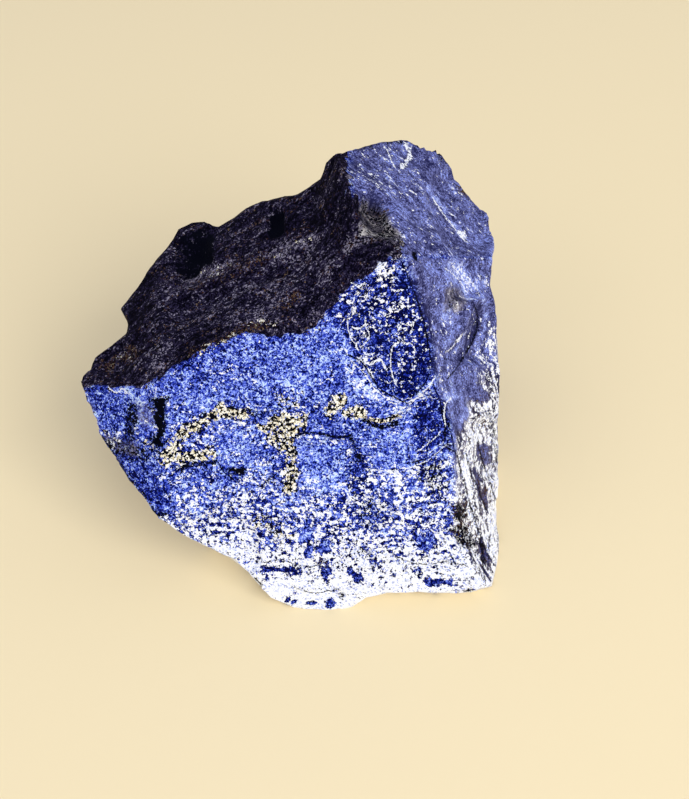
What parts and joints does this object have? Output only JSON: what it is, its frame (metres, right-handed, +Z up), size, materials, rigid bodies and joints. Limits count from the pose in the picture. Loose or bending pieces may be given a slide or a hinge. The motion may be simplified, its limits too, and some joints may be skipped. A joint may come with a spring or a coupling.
{
  "type": "rough lapis lazuli hand specimen",
  "caption": "A broken lump of rough lapis lazuli: an ultramarine front with gold pyrite flecks and a white calcite foot, a near-black top face and a grey-blue right flank.",
  "frame": {"origin": "the middle of the stone's bounding box, at the flat facet that it rests on", "axes": "+Z up; the bright front face looks toward -Y and up; the right flank faces +X"},
  "size_m": [0.0568, 0.0554, 0.0432],
  "materials": {
    "lapis": "rough broken rock: ultramarine lazurite with white calcite and gold pyrite grains"
  },
  "bodies": {
    "root": {"lapis_stone": "lapis"}
  },
  "joints": []
}
